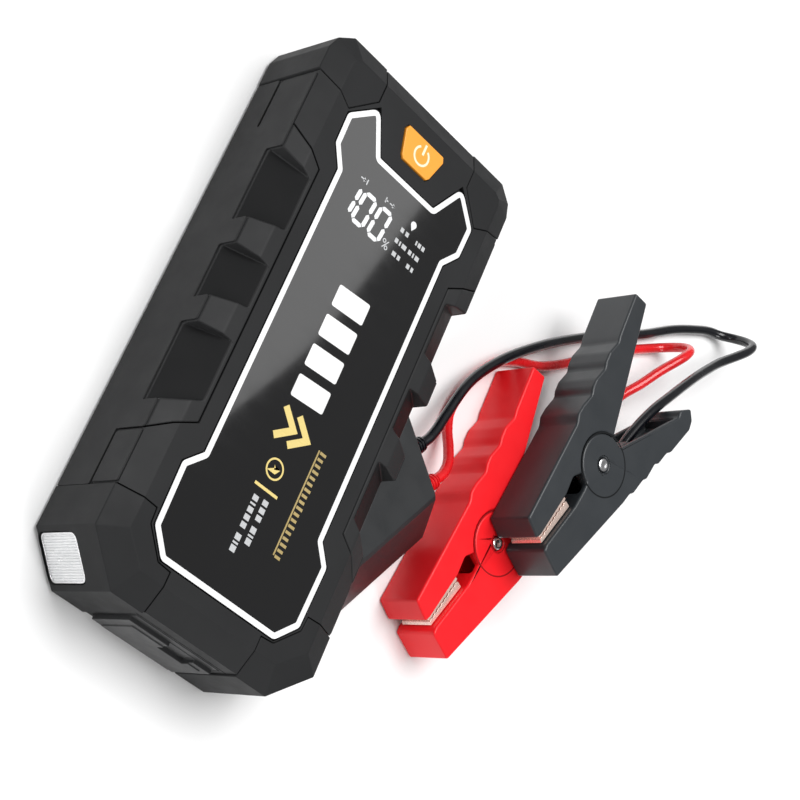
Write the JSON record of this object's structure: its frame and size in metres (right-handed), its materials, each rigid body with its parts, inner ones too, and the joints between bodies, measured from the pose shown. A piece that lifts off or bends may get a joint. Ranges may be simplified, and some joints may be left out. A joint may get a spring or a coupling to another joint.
{
  "type": "jump starter pack",
  "caption": "Flat rectangular battery pack with a display face, power button, corner lamp and covered ports, joined to a plug-in lead with a red and a black battery clamp.",
  "frame": {"origin": "middle of the pack's flat back face, on the surface it lies on", "axes": "+Z out of the display face, +Y toward the button end, +X toward the side that takes the lead"},
  "size_m": [0.2255, 0.2265, 0.0349],
  "materials": {
    "case_black": "fine satin texture",
    "case_light": "satin",
    "guard_rubber": "matte",
    "panel_gloss": "gloss",
    "button_orange": "satin",
    "lens_clear": "clear, ribbed",
    "silver_trim": "bright",
    "steel": "bright",
    "copper": "copper plated",
    "brass": "bright",
    "board": "solder mask",
    "cell_pouch": "foil",
    "clamp_red": "satin",
    "slate": "satin",
    "socket_blue": "satin",
    "cord_red": "glossy silicone",
    "cord_black": "glossy silicone",
    "foam": "matte foam"
  },
  "bodies": {
    "case": {"rear_shell": "case_black", "front_shell": "case_black", "display_module": "case_black", "dc_jack": "case_black", "grip_rail_right": "case_light", "grip_rail_left": "case_light", "corner_guard_top_right": "guard_rubber", "corner_guard_top_left": "guard_rubber", "corner_guard_bottom_right": "guard_rubber", "corner_guard_bottom_left": "guard_rubber", "display_panel": "panel_gloss", "lamp_lens": "lens_clear", "lamp_bezel": "silver_trim", "lamp_reflector": "silver_trim", "button_switch": "steel", "cell_busbar": "steel", "usb_a_1": "steel", "usb_a_2": "steel", "usb_c": "steel", "case_screw_1": "steel", "case_screw_2": "steel", "case_screw_3": "steel", "case_screw_4": "steel", "main_board": "board", "port_board": "board", "lamp_board": "board", "battery_cell_1": "cell_pouch", "battery_cell_2": "cell_pouch", "battery_cell_3": "cell_pouch", "cell_foam": "foam", "lead_socket": "socket_blue", "socket_contact_1": "brass", "socket_contact_2": "brass"},
    "button": {"power_button": "button_orange"},
    "cover": {"port_cover": "guard_rubber"},
    "lead": {"module_top": "slate", "module_base": "slate", "module_board": "board", "lead_plug": "socket_blue", "plug_pin_1": "brass", "plug_pin_2": "brass", "relief_black": "cord_black", "relief_red": "cord_red", "cord_black": "cord_black", "cord_red": "cord_red", "red_clamp_rivet": "steel", "red_clamp_spring": "steel", "red_cord_anchor": "clamp_red", "black_clamp_lower_arm": "slate", "black_clamp_lower_contact": "copper", "black_clamp_rivet": "steel", "black_clamp_spring": "steel", "black_cord_anchor": "slate"},
    "red_left": {"red_clamp_upper_arm": "clamp_red", "red_clamp_upper_contact": "copper"},
    "red_right": {"red_clamp_lower_arm": "clamp_red", "red_clamp_lower_contact": "copper"},
    "black_left": {"black_clamp_upper_arm": "slate", "black_clamp_upper_contact": "copper"}
  },
  "joints": [
    {"name": "button_press", "type": "slide", "parent": "case", "child": "button", "axis": [0, 0, -1], "range_m": [0, 0.0008], "stiffness_N_per_m": 800, "springref_m": -0.0006},
    {"name": "cover_hinge", "type": "hinge", "parent": "case", "child": "cover", "pos_m": [0, -0.0912, 0.003], "axis": [1, 0, 0], "range_deg": [0, 95]},
    {"name": "lead_plug_slide", "type": "slide", "parent": "case", "child": "lead", "axis": [1, 0, 0], "range_m": [0, 0.025]},
    {"name": "red_jaw_left", "type": "hinge", "parent": "lead", "child": "red_left", "pos_m": [0.099, -0.0012, 0.0086], "axis": [0, 0, -1], "range_deg": [0, 9], "stiffness_Nm_per_rad": 0.5, "springref_deg": -22.92, "deforming": ["red_clamp_spring"]},
    {"name": "red_jaw_right", "type": "hinge", "parent": "lead", "child": "red_right", "pos_m": [0.099, -0.0012, 0.0086], "axis": [0, 0, 1], "range_deg": [0, 7], "stiffness_Nm_per_rad": 0.5, "springref_deg": -22.92},
    {"name": "black_jaw", "type": "hinge", "parent": "lead", "child": "black_left", "pos_m": [0.1137, 0.0362, 0.0261], "axis": [0, 0, -1], "range_deg": [0, 26], "stiffness_Nm_per_rad": 0.5, "springref_deg": -22.92, "deforming": ["black_clamp_spring"]}
  ]
}
